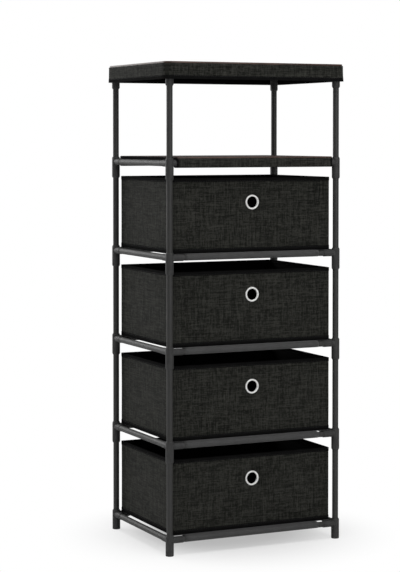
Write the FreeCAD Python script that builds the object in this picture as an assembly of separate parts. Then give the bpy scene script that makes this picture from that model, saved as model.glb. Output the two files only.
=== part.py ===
import FreeCAD, Part

import math
import os

# Tall storage tower: a push-fit steel tube frame with four open-top fabric bins,
# an open shelf and a cloth-skirted lid. Millimetres, +Z up, front towards -Y.
# The origin lies on the floor, midway between the four feet.

# ---------------------------------------------------------------- driving sizes

# Frame layout
POLE_SPACING_X = 416.5          # between upright axes, left to right
POLE_SPACING_Y = 304.2          # between upright axes, front to back
FIRST_RAIL_HEIGHT = 34.6        # axis of the lowest rails above the floor
LEVEL_PITCH = 207.0             # axis of one level's rails to the next
BIN_LEVELS = 4                  # levels that carry a bin; shelf and lid lie above

# Steel tube
TUBE_DIAMETER = 12.7
TUBE_WALL = 0.6

# Moulded corner connectors
SLEEVE_DIAMETER = 17.4          # upright sleeve
ARM_DIAMETER = 15.0             # arms that take the rails
SOCKET_CLEARANCE = 0.05         # tube surface to socket wall
SLEEVE_RISE = 12.0              # sleeve end above the rail axis
SLEEVE_DROP = 37.5              # sleeve end below the rail axis
SLEEVE_WEB = 2.0                # wall between the two upright sockets
SLEEVE_TAPER = 1.6              # radial taper at an open sleeve end
SLEEVE_TAPER_HEIGHT = 3.2
ARM_REACH = 32.5                # pole axis to the mouth of an arm
ARM_SOCKET_STOP = 12.0          # pole axis to the blind end of an arm's socket
TUBE_END_GAP = 0.3              # tube end to the bottom of its socket
FOOT_CHAMFER = 0.8
TOP_CAP = 0.1                   # closed top of a top connector above its arms

# Support cloth that carries each bin
SLING_SETBACK = 43.0            # pole axis to the side end of a hem
SLING_SIDE_GAP = 11.0           # pole axis to the side edge of the flat cloth
SLING_ARM_GAP = 4.2             # arm surface to the cloth that is notched round it
SLING_CLEARANCE = 0.1           # rail surface to the hem round it
SLING_CLOTH = 1.0

# Fabric bins
BIN_SIDE_GAP = 10.1             # pole axis to the bin's side wall
BIN_FRONT_SETBACK = 11.8        # front pole axis to the bin's front wall
BIN_BACK_SETBACK = 6.6          # back pole axis to the bin's back wall
BIN_HEIGHT = 166.0              # foot of the bin to its rim
BIN_LIFT = 0.35                 # sling surface to the foot of the bin
BIN_CORNER_RADIUS = 2.5
BIN_SKIN = 0.6                  # outer cloth, and the lining
BIN_POCKET = 1.8                # room between skin and lining for a stiffener
BIN_FLOOR = 0.8
STIFFENER = 1.6                 # greyboard in the walls
STIFFENER_END_GAP = 9.0         # outer corner to the end of a stiffener
BASE_BOARD = 2.4
BASE_BOARD_GAP = 0.6            # round the loose base board
BINDING_TAPE = 0.6
RIM_TAPE_DEPTH = 8.5
BASE_TAPE_DEPTH = 9.5

# Finger-hole grommet
GROMMET_OUTER = 33.6
GROMMET_BORE = 24.2
GROMMET_HEIGHT = 111.1          # centre above the foot of the bin
GROMMET_FLANGE = 2.0
GROMMET_EDGE = 0.7              # flange thickness at its rim
GROMMET_BEVEL = 1.2             # width of the sloping rims of the flange
GROMMET_LIP = 1.6               # overhang of the flange past the neck's bore
GROMMET_NECK_WALL = 1.0
GROMMET_NECK_PROUD = 1.7        # neck past the lining
GROMMET_FIT = 0.15              # neck to the hole in the wall
BACK_RING = 1.2

# Shelf
SHELF_SETBACK = 14.5            # pole axis to the end of the shelf
SHELF_CLOTH = 1.2
SHELF_PANEL = 1.0               # cloth under the board
SHELF_DROP = 10.1               # rail axis to the lower edge of the skirt
SHELF_UPSTAND = 10.9            # rail axis to the upper edge of the skirt
SHELF_FIT = 0.1                 # arm surface to the cloth round it
SHELF_BOARD = 5.0
SHELF_BOARD_GAP = 0.4

# Lid
LID_ROOM = 5.7                  # upright sleeves to the hem of the skirt
LID_CORNER_RADIUS = 19.0
LID_CLOTH = 1.4
LID_FLOOR = 1.0
LID_SKIRT = 35.0                # height of the cloth skirt
LID_HEM = 10.0
LID_HEM_THICKNESS = 2.4
LID_BOARD = 7.2
LID_BOARD_GAP = 0.6
LID_BOARD_SHOW = 3.7            # board above the top of the cloth
LID_SEAT_GAP = 0.1              # top connectors to the cloth floor
BOARD_EDGE = 0.8                # eased upper edge of both boards

# ---------------------------------------------------------------- worked-out sizes

V = FreeCAD.Vector
UP = V(0, 0, 1)
TUBE_RADIUS = TUBE_DIAMETER / 2
SOCKET_RADIUS = TUBE_RADIUS + SOCKET_CLEARANCE
SLEEVE_RADIUS = SLEEVE_DIAMETER / 2
ARM_RADIUS = ARM_DIAMETER / 2
HALF_X = POLE_SPACING_X / 2
HALF_Y = POLE_SPACING_Y / 2
SHELF_LEVEL = BIN_LEVELS + 1
TOP_LEVEL = BIN_LEVELS + 2
LEVELS = range(1, TOP_LEVEL + 1)
CORNERS = [(-1, -1), (1, -1), (1, 1), (-1, 1)]
# The web sits midway along the sleeve, so both upright sockets are equally deep.
WEB_CENTRE = (SLEEVE_RISE - SLEEVE_DROP) / 2
SLING_TOP = TUBE_RADIUS + SLING_CLEARANCE + SLING_CLOTH
BIN_FOOT = SLING_TOP + BIN_LIFT
BIN_WALL = 2 * BIN_SKIN + BIN_POCKET
GROMMET_NECK_BORE = GROMMET_BORE / 2 + GROMMET_LIP
GROMMET_NECK = GROMMET_NECK_BORE + GROMMET_NECK_WALL
GROMMET_HOLE = GROMMET_NECK + GROMMET_FIT
BIN_LEFT = -HALF_X + BIN_SIDE_GAP
BIN_RIGHT = HALF_X - BIN_SIDE_GAP
BIN_FRONT = -HALF_Y + BIN_FRONT_SETBACK
BIN_BACK = HALF_Y - BIN_BACK_SETBACK
LID_MARGIN = SLEEVE_RADIUS + LID_ROOM + LID_HEM_THICKNESS
LID_HALF_X = HALF_X + LID_MARGIN
LID_HALF_Y = HALF_Y + LID_MARGIN


def rail_height(level):
    """Height of a level's rail axes above the floor."""
    return FIRST_RAIL_HEIGHT + (level - 1) * LEVEL_PITCH


# ---------------------------------------------------------------- shape helpers

def cylinder(radius, start, direction, length):
    return Part.makeCylinder(radius, length, start, direction)


def block(x0, x1, y0, y1, z0, z1):
    return Part.makeBox(x1 - x0, y1 - y0, z1 - z0, V(x0, y0, z0))


def rounded_block(x0, x1, y0, y1, z0, z1, radius):
    """Upright block whose four vertical corners are rounded."""
    solid = block(x0, x1, y0, y1, z0, z1)
    if radius <= 0:
        return solid
    upright = [edge for edge in solid.Edges if abs(edge.tangentAt(edge.FirstParameter).z) > 0.99]
    return solid.makeFillet(radius, upright)


def ease_top(solid, size):
    """Chamfer every edge that lies in the highest face."""
    top = solid.BoundBox.ZMax
    rim = [edge for edge in solid.Edges if edge.BoundBox.ZMin > top - 0.01]
    return solid.makeChamfer(size, rim)


def tube(start, direction, length):
    outside = cylinder(TUBE_RADIUS, start, direction, length)
    bore = cylinder(TUBE_RADIUS - TUBE_WALL, start, direction, length)
    return outside.cut(bore)


def revolved(points, centre, axis):
    """Turn a closed outline of points about an axis through centre."""
    outline = Part.makePolygon(points + [points[0]])
    return Part.Face(outline).revolve(centre, axis, 360)


def write_node(name, solids):
    """Write one sub-part, made of one solid or of several separate ones."""
    solids = solids if isinstance(solids, list) else [solids]
    for solid in solids:
        if not solid.isValid():
            raise ValueError(name + " has a solid that is not valid")
    whole = [part for solid in solids for part in solid.Solids]
    shape = whole[0] if len(whole) == 1 else Part.makeCompound(whole)
    shape.exportStep(os.path.join("parts", name + ".step"))


# ---------------------------------------------------------------- corner connectors

def sleeve_profile(low, high, low_taper, low_height, high_taper, high_height):
    """Half outline of a sleeve from its axis, with a taper at either end."""
    return [
        V(0, 0, low),
        V(SLEEVE_RADIUS - low_taper, 0, low),
        V(SLEEVE_RADIUS, 0, low + low_height),
        V(SLEEVE_RADIUS, 0, high - high_height),
        V(SLEEVE_RADIUS - high_taper, 0, high),
        V(0, 0, high),
    ]


def connector_arm(direction):
    """Solid arm that reaches out from the sleeve's axis."""
    return cylinder(ARM_RADIUS, V(0, 0, 0), direction, ARM_REACH)


def arm_socket(direction):
    start = direction * ARM_SOCKET_STOP
    return cylinder(SOCKET_RADIUS, start, direction, ARM_REACH - ARM_SOCKET_STOP + 1)


def connector(level, side_x, side_y):
    """One moulded corner: upright sockets, a web between them and two rail arms."""
    height = rail_height(level)
    web_low = WEB_CENTRE - SLEEVE_WEB / 2
    web_high = WEB_CENTRE + SLEEVE_WEB / 2
    if level == 1:
        low, low_taper, low_height = -height, FOOT_CHAMFER, FOOT_CHAMFER
    else:
        low, low_taper, low_height = -SLEEVE_DROP, SLEEVE_TAPER, SLEEVE_TAPER_HEIGHT
    if level == TOP_LEVEL:
        high, high_taper, high_height = ARM_RADIUS + TOP_CAP, FOOT_CHAMFER, FOOT_CHAMFER
    else:
        high, high_taper, high_height = SLEEVE_RISE, SLEEVE_TAPER, SLEEVE_TAPER_HEIGHT
    profile = sleeve_profile(low, high, low_taper, low_height, high_taper, high_height)
    body = revolved(profile, V(0, 0, 0), UP)
    inward_x = V(-side_x, 0, 0)
    inward_y = V(0, -side_y, 0)
    body = body.fuse([connector_arm(inward_x), connector_arm(inward_y)])
    sockets = [arm_socket(inward_x), arm_socket(inward_y)]
    if level != 1:
        sockets.append(cylinder(SOCKET_RADIUS, V(0, 0, low - 1), UP, web_low - low + 1))
    if level != TOP_LEVEL:
        sockets.append(cylinder(SOCKET_RADIUS, V(0, 0, web_high), UP, high - web_high + 1))
    body = body.cut(sockets).removeSplitter()
    body.translate(V(side_x * HALF_X, side_y * HALF_Y, height))
    return body


def connector_name(level):
    if level == 1:
        return "foot_connectors"
    if level == TOP_LEVEL:
        return "top_connectors"
    return "level_%d_connectors" % level


def make_connectors():
    for level in LEVELS:
        write_node(connector_name(level), [connector(level, x, y) for x, y in CORNERS])


# ---------------------------------------------------------------- steel tubes

def make_uprights():
    """Each tier's four uprights run from one level's webs to the next level's."""
    for tier in range(1, TOP_LEVEL):
        low = rail_height(tier) + WEB_CENTRE + SLEEVE_WEB / 2 + TUBE_END_GAP
        high = rail_height(tier + 1) + WEB_CENTRE - SLEEVE_WEB / 2 - TUBE_END_GAP
        posts = [tube(V(x * HALF_X, y * HALF_Y, low), UP, high - low) for x, y in CORNERS]
        write_node("tier_%d_uprights" % tier, posts)


def make_rails():
    """Front and back rails run along X, side rails along Y, into the arms' sockets."""
    tuck = ARM_SOCKET_STOP + TUBE_END_GAP
    reach_x = HALF_X - tuck
    reach_y = HALF_Y - tuck
    for level in LEVELS:
        z = rail_height(level)
        cross = [tube(V(-reach_x, y * HALF_Y, z), V(1, 0, 0), 2 * reach_x) for y in (-1, 1)]
        side = [tube(V(x * HALF_X, -reach_y, z), V(0, 1, 0), 2 * reach_y) for x in (-1, 1)]
        write_node("level_%d_front_back_rails" % level, cross)
        write_node("level_%d_side_rails" % level, side)


# ---------------------------------------------------------------- bin supports

def sling_notch(under):
    """How far short of a rail's axis the cloth ends where it passes the arms."""
    arm_half_width = math.sqrt(max(ARM_RADIUS ** 2 - under ** 2, 0))
    return arm_half_width + SLING_ARM_GAP


def make_sling(level):
    """Flat cloth, notched at its corners, with a hem sewn round the front and back rails."""
    z = rail_height(level)
    reach = HALF_X - SLING_SETBACK
    side = HALF_X - SLING_SIDE_GAP
    under = TUBE_RADIUS + SLING_CLEARANCE
    ends = HALF_Y - sling_notch(under)
    middle = block(-reach, reach, -HALF_Y, HALF_Y, z + under, z + SLING_TOP)
    wide = block(-side, side, -ends, ends, z + under, z + SLING_TOP)
    cloth = middle.fuse(wide)
    along = V(1, 0, 0)
    starts = [V(-reach, side * HALF_Y, z) for side in (-1, 1)]
    hems = [cylinder(SLING_TOP, start, along, 2 * reach) for start in starts]
    bores = [cylinder(under, start, along, 2 * reach) for start in starts]
    write_node("sling_%d" % level, cloth.fuse(hems).cut(bores).removeSplitter())


# ---------------------------------------------------------------- fabric bins

def bin_shell(foot, top, inset, radius):
    """Block with the bin's outline, moved inwards by inset."""
    x0, x1 = BIN_LEFT + inset, BIN_RIGHT - inset
    y0, y1 = BIN_FRONT + inset, BIN_BACK - inset
    return rounded_block(x0, x1, y0, y1, foot, top, radius)


def wall_slots(low, high, thickness, end_gap):
    """Four upright slabs centred in the bin's walls: front, back, left and right."""
    middle = BIN_SKIN + BIN_POCKET / 2
    near = middle - thickness / 2
    far = middle + thickness / 2
    x0, x1 = BIN_LEFT + end_gap, BIN_RIGHT - end_gap
    y0, y1 = BIN_FRONT + end_gap, BIN_BACK - end_gap
    return [
        block(x0, x1, BIN_FRONT + near, BIN_FRONT + far, low, high),
        block(x0, x1, BIN_BACK - far, BIN_BACK - near, low, high),
        block(BIN_LEFT + near, BIN_LEFT + far, y0, y1, low, high),
        block(BIN_RIGHT - far, BIN_RIGHT - near, y0, y1, low, high),
    ]


def finger_hole(centre, radius):
    start = V(centre.x, centre.y - BIN_WALL, centre.z)
    return cylinder(radius, start, V(0, 1, 0), 3 * BIN_WALL)


def grommet_front(centre):
    """White flange with sloping rims and an undercut neck that passes through the wall."""
    bore = GROMMET_BORE / 2
    outer = GROMMET_OUTER / 2
    back = BIN_WALL + GROMMET_NECK_PROUD
    section = [
        (bore, 0),
        (bore, -GROMMET_EDGE),
        (bore + GROMMET_BEVEL, -GROMMET_FLANGE),
        (outer - GROMMET_BEVEL, -GROMMET_FLANGE),
        (outer, -GROMMET_EDGE),
        (outer, 0),
        (GROMMET_NECK, 0),
        (GROMMET_NECK, back),
        (GROMMET_NECK_BORE, back),
        (GROMMET_NECK_BORE, 0),
    ]
    points = [centre + V(radius, depth, 0) for radius, depth in section]
    return revolved(points, centre, V(0, 1, 0))


def grommet_back(centre):
    """Flat ring that clips over the neck behind the lining."""
    start = V(centre.x, centre.y + BIN_WALL, centre.z)
    along = V(0, 1, 0)
    disc = cylinder(GROMMET_OUTER / 2, start, along, BACK_RING)
    return disc.cut(cylinder(GROMMET_HOLE, start, along, BACK_RING))


def rim_tape(rim):
    """Tape folded over the rim: outside, over the top and down the inside."""
    low = rim - RIM_TAPE_DEPTH
    outer = bin_shell(low, rim, -BINDING_TAPE, BIN_CORNER_RADIUS + BINDING_TAPE)
    hollow = bin_shell(low - 1, rim + 1, BIN_WALL + BINDING_TAPE, 0)
    wall = bin_shell(low - 1, rim - BINDING_TAPE, 0, BIN_CORNER_RADIUS)
    core = bin_shell(low - 2, rim, BIN_WALL, 0)
    return outer.cut(hollow).cut(wall.cut(core))


def base_tape(foot):
    """Tape folded round the lower edge: up the wall and in under the floor."""
    high = foot + BASE_TAPE_DEPTH
    outer = bin_shell(foot, high, -BINDING_TAPE, BIN_CORNER_RADIUS + BINDING_TAPE)
    bag = bin_shell(foot + BINDING_TAPE, high + 1, 0, BIN_CORNER_RADIUS)
    middle = bin_shell(foot - 1, high, BASE_TAPE_DEPTH, 0)
    return outer.cut(bag).cut(middle)


def make_bin(level):
    """Bin with its stiffeners, loose base board, edge tapes and grommet."""
    foot = rail_height(level) + BIN_FOOT
    rim = foot + BIN_HEIGHT
    cloth_foot = foot + BINDING_TAPE
    cloth_rim = rim - BINDING_TAPE
    floor = cloth_foot + BIN_FLOOR
    hole = V((BIN_LEFT + BIN_RIGHT) / 2, BIN_FRONT, foot + GROMMET_HEIGHT)
    name = "drawer_%d_" % level

    cloth = bin_shell(cloth_foot, cloth_rim, 0, BIN_CORNER_RADIUS)
    inside = bin_shell(floor, cloth_rim + 1, BIN_WALL, 0)
    pockets = wall_slots(floor, cloth_rim + 1, BIN_POCKET, STIFFENER_END_GAP - BIN_SKIN)
    cloth = cloth.cut([inside, finger_hole(hole, GROMMET_HOLE)] + pockets)
    write_node(name + "fabric_bin", cloth)

    boards = wall_slots(floor, cloth_rim, STIFFENER, STIFFENER_END_GAP)
    boards[0] = boards[0].cut(finger_hole(hole, GROMMET_HOLE))
    write_node(name + "wall_stiffeners", boards)

    inset = BIN_WALL + BASE_BOARD_GAP
    write_node(name + "base_board", bin_shell(floor, floor + BASE_BOARD, inset, 0))
    write_node(name + "edge_tapes", [rim_tape(rim), base_tape(foot)])
    write_node(name + "grommet", grommet_front(hole))
    write_node(name + "grommet_ring", grommet_back(hole))


# ---------------------------------------------------------------- shelf

def make_shelf():
    """Cloth tray whose hems form pockets round the rails, with a board laid in it."""
    z = rail_height(SHELF_LEVEL)
    reach = HALF_X - SHELF_SETBACK
    pocket = ARM_RADIUS + SHELF_FIT
    face = HALF_Y + pocket + SHELF_CLOTH
    panel_low = z + pocket
    panel_high = panel_low + SHELF_PANEL
    cloth = block(-reach, reach, -face, face, z - SHELF_DROP, z + SHELF_UPSTAND)
    tray_y = face - SHELF_CLOTH
    cuts = [block(-reach - 1, reach + 1, -tray_y, tray_y, panel_high, z + SHELF_UPSTAND + 1)]
    inner = HALF_Y - pocket
    for side in (-1, 1):
        ends = sorted((side * inner, side * tray_y))
        cuts.append(block(-reach - 1, reach + 1, ends[0], ends[1],
                          z - SHELF_DROP + SHELF_CLOTH, panel_low))
    span = inner - SHELF_CLOTH
    cuts.append(block(-reach - 1, reach + 1, -span, span, z - SHELF_DROP - 1, panel_low))
    write_node("shelf_cover", cloth.cut(cuts))

    board_x = reach - SHELF_BOARD_GAP
    board_y = tray_y - SHELF_BOARD_GAP
    board = block(-board_x, board_x, -board_y, board_y, panel_high, panel_high + SHELF_BOARD)
    write_node("shelf_board", ease_top(board, BOARD_EDGE))


# ---------------------------------------------------------------- lid

def lid_block(inset, low, high):
    """Block with the lid's rounded outline, moved inwards by inset."""
    x = LID_HALF_X - inset
    y = LID_HALF_Y - inset
    return rounded_block(-x, x, -y, y, low, high, LID_CORNER_RADIUS - inset)


def make_lid():
    """Board in a cloth cover whose skirt hangs round the top of the frame."""
    floor_low = rail_height(TOP_LEVEL) + ARM_RADIUS + TOP_CAP + LID_SEAT_GAP
    floor_high = floor_low + LID_FLOOR
    top = floor_high + LID_BOARD
    skirt_high = top - LID_BOARD_SHOW
    skirt_low = skirt_high - LID_SKIRT
    cover = lid_block(0, skirt_low, skirt_high)
    recess = lid_block(LID_CLOTH, floor_high, skirt_high + 1)
    hollow = lid_block(LID_CLOTH, skirt_low + LID_HEM, floor_low)
    mouth = lid_block(LID_HEM_THICKNESS, skirt_low - 1, skirt_low + LID_HEM)
    write_node("lid_cover", cover.cut([recess, hollow, mouth]))
    board = lid_block(LID_CLOTH + LID_BOARD_GAP, floor_high, top)
    write_node("lid_board", ease_top(board, BOARD_EDGE))
    return top


# ---------------------------------------------------------------- the whole piece

def main():
    os.makedirs("parts", exist_ok=True)
    make_connectors()
    make_uprights()
    make_rails()
    for level in range(1, BIN_LEVELS + 1):
        make_sling(level)
        make_bin(level)
    make_shelf()
    height = make_lid()
    print("overall %.1f x %.1f x %.1f mm" % (2 * LID_HALF_X, 2 * LID_HALF_Y, height))


main()
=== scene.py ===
# %% [markdown]
# # A tall tower of fabric drawers
# The real thing is a push-fit frame of thin black steel tube in moulded plastic corners. Four
# stiff cloth bins stand on cloth slings, and a shelf and a lid, each a walnut-look board in a
# linen-look cover, close the top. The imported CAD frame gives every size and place, and this
# lesson gives each part its look: how cloth folds over a rim, where thread shows, and how
# powder coat, moulded plastic and foil catch the light.

# %% Load the frame
import math

import bmesh
import bpy
from mathutils import Matrix, Vector, noise


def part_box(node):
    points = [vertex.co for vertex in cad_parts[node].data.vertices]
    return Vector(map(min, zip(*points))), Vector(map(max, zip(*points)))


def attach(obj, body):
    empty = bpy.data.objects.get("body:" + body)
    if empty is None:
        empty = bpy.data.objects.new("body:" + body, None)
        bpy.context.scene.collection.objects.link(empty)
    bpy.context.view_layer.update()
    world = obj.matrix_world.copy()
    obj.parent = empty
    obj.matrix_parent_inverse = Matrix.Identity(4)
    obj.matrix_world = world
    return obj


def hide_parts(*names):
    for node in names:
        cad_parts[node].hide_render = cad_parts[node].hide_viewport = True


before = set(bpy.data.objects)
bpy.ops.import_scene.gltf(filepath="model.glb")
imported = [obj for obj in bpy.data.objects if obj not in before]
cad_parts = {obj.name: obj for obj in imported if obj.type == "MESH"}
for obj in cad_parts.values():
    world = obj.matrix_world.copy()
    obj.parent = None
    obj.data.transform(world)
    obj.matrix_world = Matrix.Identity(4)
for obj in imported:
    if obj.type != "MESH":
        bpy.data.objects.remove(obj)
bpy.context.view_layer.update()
MM = 0.001
print("frame nodes:", len(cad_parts))

# %% [markdown]
# ## Measures
# Nothing is typed in twice. The pole spacing, the rail heights and the tube's radius are read
# from the frame's own boxes, so a new frame moves every dressed piece with it.

# %% Measures read from the frame
BINS = (1, 2, 3, 4)
TIERS = (1, 2, 3, 4, 5)
LEVELS = (1, 2, 3, 4, 5, 6)
rail_low, rail_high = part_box("level_1_side_rails")
post_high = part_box("tier_1_uprights")[1]
TUBE_RADIUS = (rail_high.z - rail_low.z) / 2
POLE_X = post_high.x - TUBE_RADIUS
POLE_Y = post_high.y - TUBE_RADIUS
CORNER_SIGNS = ((-1, -1), (1, -1), (1, 1), (-1, 1))


def rail_z(level):
    """Height of a level's rails."""
    low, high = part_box("level_%d_side_rails" % level)
    return (low.z + high.z) / 2


print("poles at %.1f x %.1f mm" % (POLE_X / MM, POLE_Y / MM))

# %% [markdown]
# ## Colour and nodes
# Colours are written as they look on screen, in sRGB hex, and one function turns them to the
# linear values that shaders use. Each kind of node could have a function of its own, but one
# small helper is enough: it adds any node, sets its properties, and gives each input a
# number, a colour or another node's output. The other helpers are patterns of a few nodes.

# %% Colour and node helpers
FIRST, SECOND = 6, 7            # the two colour inputs of a colour mix


def linear(hex_colour):
    """sRGB hex to the linear RGBA that a socket takes."""
    channels = [int(hex_colour[i:i + 2], 16) / 255 for i in (1, 3, 5)]
    lit = [c / 12.92 if c <= 0.04045 else ((c + 0.055) / 1.055) ** 2.4 for c in channels]
    return (*lit, 1.0)


def add_node(tree, kind, inputs=None, **settings):
    """Add a node and set its properties; an input takes a value, a hex colour or a link."""
    node = tree.nodes.new("ShaderNode" + kind)
    for name, value in settings.items():
        setattr(node, name, value)
    for socket, value in (inputs or {}).items():
        if isinstance(value, bpy.types.Node):
            value = next(output for output in value.outputs if output.enabled)
        if isinstance(value, bpy.types.NodeSocket):
            tree.links.new(value, node.inputs[socket])
        else:
            value = linear(value) if isinstance(value, str) else value
            node.inputs[socket].default_value = value
    return node


def new_material(name):
    """An empty material; returns it with its tree and a point's place in millimetres."""
    material = bpy.data.materials.new(name)
    material.use_nodes = True
    tree = material.node_tree
    tree.nodes.clear()
    point = add_node(tree, "TexCoord").outputs["Object"]
    place = add_node(tree, "VectorMath", {0: point, "Scale": 1 / MM}, operation="SCALE")
    return material, tree, place


def stretched_noise(tree, place, size, detail=2.0):
    """Noise whose grains are size = (x, y, z) millimetres long."""
    scale = [1 / length for length in size]
    fitted = add_node(tree, "VectorMath", {0: place, 1: scale}, operation="MULTIPLY")
    return add_node(tree, "TexNoise", {"Vector": fitted, "Scale": 1.0, "Detail": detail})


def two_tone(tree, pattern, low, high, first, second):
    """The first colour where a pattern is below low, the second where it is above high."""
    share = add_node(tree, "MapRange", {"Value": pattern, "From Min": low, "From Max": high},
                     interpolation_type="SMOOTHSTEP")
    return add_node(tree, "Mix", {0: share, FIRST: first, SECOND: second}, data_type="RGBA")


def close_material(tree, finish, height=None, strength=0.0, depth=0.0):
    """End a material: a bump if it has a height, the shader with its finish, the output."""
    if height is not None:
        bump = add_node(tree, "Bump", {"Height": height, "Strength": strength,
                                       "Distance": depth})
        finish = {**finish, "Normal": bump}
    shader = add_node(tree, "BsdfPrincipled", finish)
    add_node(tree, "OutputMaterial", {"Surface": shader})


print("middle grey #808080 is %.3f in linear light" % linear("#808080")[0])

# %% [markdown]
# ## Linen-look polyester
# The covers and bins are a plain-woven polyester with slubs: each yarn gets thicker and
# thinner along its length, on its own. A stretched noise could draw the streaks, but it
# smears yarns into each other. So each yarn is drawn as a lane as wide as a thread, and a
# noise runs along it, sampled at a place of its own. One set of lanes runs level and one
# upright. The sideways count is x + y, so that it holds on front and side walls alike. The
# real thread is about half a millimetre; a lane is 1.9 mm, as coarse as it needs to be to
# show. Woven yarn scatters light every way, so the cloth is matt with hardly any highlight.

# %% Linen cloth
THREAD = 1.9          # mm, drawn coarser than the real 0.5 mm
SLUB_LENGTH = 60.0    # mm, the longest; the noise's finer octaves give the short ones
LANE_JUMP = 3.37      # how far apart two lanes are sampled in the noise
WARP_START = 40.0     # where the upright lanes are sampled, away from the level ones


def yarns(tree, along, across, start):
    """Thick and thin places along each yarn; every lane of the across count is another."""
    lane = add_node(tree, "Math", {0: across, 1: THREAD}, operation="SNAP")
    jump = add_node(tree, "Math", {0: lane, 1: LANE_JUMP}, operation="MULTIPLY")
    run = add_node(tree, "Math", {0: along, 1: SLUB_LENGTH}, operation="DIVIDE")
    spot = add_node(tree, "CombineXYZ", {0: run, 1: jump, 2: start})
    return add_node(tree, "TexNoise",
                    {"Vector": spot, "Scale": 1.0, "Detail": 4.0, "Roughness": 0.9})


def linen_cloth():
    """Matt woven cloth: dark ground, paler where thick places of weft and warp meet."""
    material, tree, place = new_material("slubbed_linen_polyester")
    axes = add_node(tree, "SeparateXYZ", {0: place})
    around = add_node(tree, "Math", {0: axes.outputs[0], 1: axes.outputs[1]}, operation="ADD")
    upward = axes.outputs[2]
    weft = yarns(tree, around, upward, 0.0)
    warp = yarns(tree, upward, around, WARP_START)
    weave = add_node(tree, "Math", {0: weft, 1: warp}, operation="ADD")
    slubs = add_node(tree, "MapRange", {"Value": weave, "From Min": 0.82, "From Max": 1.24},
                     interpolation_type="SMOOTHSTEP")
    cloudy = stretched_noise(tree, place, (60.0, 60.0, 45.0))
    ground = two_tone(tree, cloudy, 0.3, 0.7, "#11120f", "#161714")
    streaked = add_node(tree, "Mix", {0: slubs, FIRST: ground, SECOND: "#393935"},
                        data_type="RGBA")
    close_material(tree, {"Base Color": streaked, "Roughness": 0.95, "IOR": 1.45,
                          "Specular IOR Level": 0.12, "Sheen Weight": 0.04,
                          "Sheen Roughness": 0.5},
                   height=slubs, strength=0.3, depth=0.25 * MM)
    return material


LINEN = linen_cloth()
print("linen lanes %.1f mm, slubs %.0f mm" % (THREAD, SLUB_LENGTH))

# %% [markdown]
# ## Non-woven cloth, tape and lining
# The slings are spun-bond polypropylene, a felt-like sheet with no weave. It is pressed flat,
# so it is smoother than linen and lights up more along a curve. The edge tapes and the bins'
# lining are the same stuff in deeper black with almost no shine, so one function makes all
# three. Its fibres are drawn by two noises: matted strands, and the soft clouds they form.


# %% Non-woven cloths
def nonwoven(name, low, high, roughness, shine):
    """Spun-bond sheet: matted strands of 0.3 mm, drawn at 1.1 mm to show, in clouds."""
    material, tree, place = new_material(name)
    fibres = stretched_noise(tree, place, (1.1, 1.1, 1.1), detail=4.0)
    clouds = stretched_noise(tree, place, (14.0, 14.0, 14.0))
    fine = add_node(tree, "Math", {0: fibres, 1: 0.6}, operation="MULTIPLY")
    soft = add_node(tree, "Math", {0: clouds, 1: 0.4}, operation="MULTIPLY")
    felt = add_node(tree, "Math", {0: fine, 1: soft}, operation="ADD")
    close_material(tree, {"Base Color": two_tone(tree, felt, 0.35, 0.65, low, high),
                          "Roughness": roughness, "IOR": 1.45, "Specular IOR Level": shine,
                          "Sheen Weight": shine / 2, "Sheen Roughness": 0.4},
                   height=fibres, strength=0.25, depth=0.2 * MM)
    return material


SLING_CLOTH = nonwoven("spunbond_sling", "#393939", "#434343", 0.6, 0.4)
TAPE = nonwoven("spunbond_edge_tape", "#0f0f0f", "#151515", 0.9, 0.02)
LINING = nonwoven("spunbond_lining", "#090909", "#0e0e0e", 0.9, 0.05)
print("non-woven cloths:", SLING_CLOTH.name, TAPE.name, LINING.name)

# %% [markdown]
# ## Powder-coated steel and moulded plastic
# Powder coat is paint that has melted into a slightly pebbled skin, so its highlights are
# broad and soft. It isn't metallic: the steel never shows. The corner pieces are
# injection-moulded polypropylene with a fine spark texture: as dark, a little duller, and
# with no pebble. A noise moves the coat's roughness a little, as handling does, because an
# even roughness looks like a computer's paint.


# %% Tube and corner finishes
def powder_coat():
    """Paint on steel: a pebble of 0.9 mm breaks up its highlights."""
    material, tree, place = new_material("satin_powder_coat")
    pebble = stretched_noise(tree, place, (0.9, 0.9, 0.9), detail=1.0)
    wear = stretched_noise(tree, place, (9.0, 9.0, 9.0), detail=3.0)
    dullness = add_node(tree, "MapRange", {"Value": wear, "From Min": 0.3, "From Max": 0.7,
                                           "To Min": 0.5, "To Max": 0.6},
                        interpolation_type="SMOOTHSTEP")
    close_material(tree, {"Base Color": two_tone(tree, wear, 0.35, 0.7, "#272726", "#2d2d2c"),
                          "Roughness": dullness, "IOR": 1.5, "Specular IOR Level": 0.5},
                   height=pebble, strength=0.12, depth=0.1 * MM)
    return material


def moulded_plastic():
    """Spark texture of 0.1 mm, drawn at 0.5 mm; the melt's flow shades it lengthwise."""
    material, tree, place = new_material("spark_textured_polypropylene")
    grain = stretched_noise(tree, place, (0.5, 0.5, 0.5))
    flow = stretched_noise(tree, place, (7.0, 7.0, 16.0))
    close_material(tree, {"Base Color": two_tone(tree, flow, 0.35, 0.65, "#303030", "#393939"),
                          "Roughness": 0.52, "IOR": 1.49, "Specular IOR Level": 0.3},
                   height=grain, strength=0.15, depth=0.08 * MM)
    return material


POWDER_COAT = powder_coat()
CORNER_PLASTIC = moulded_plastic()
print("frame finishes:", POWDER_COAT.name, CORNER_PLASTIC.name)

# %% [markdown]
# ## Walnut foil, white plastic and thread
# The boards are fibreboard in a printed dark walnut foil under a satin lacquer. Wood could be
# drawn by a ring texture, but a printed foil repeats long flat figure, so its grain is a
# noise stretched to nineteen centimetres and folded into bands by a sine, with finer pores
# in it. The grommets are polystyrene with a slight haze, and the thread is twisted polyester.


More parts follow.
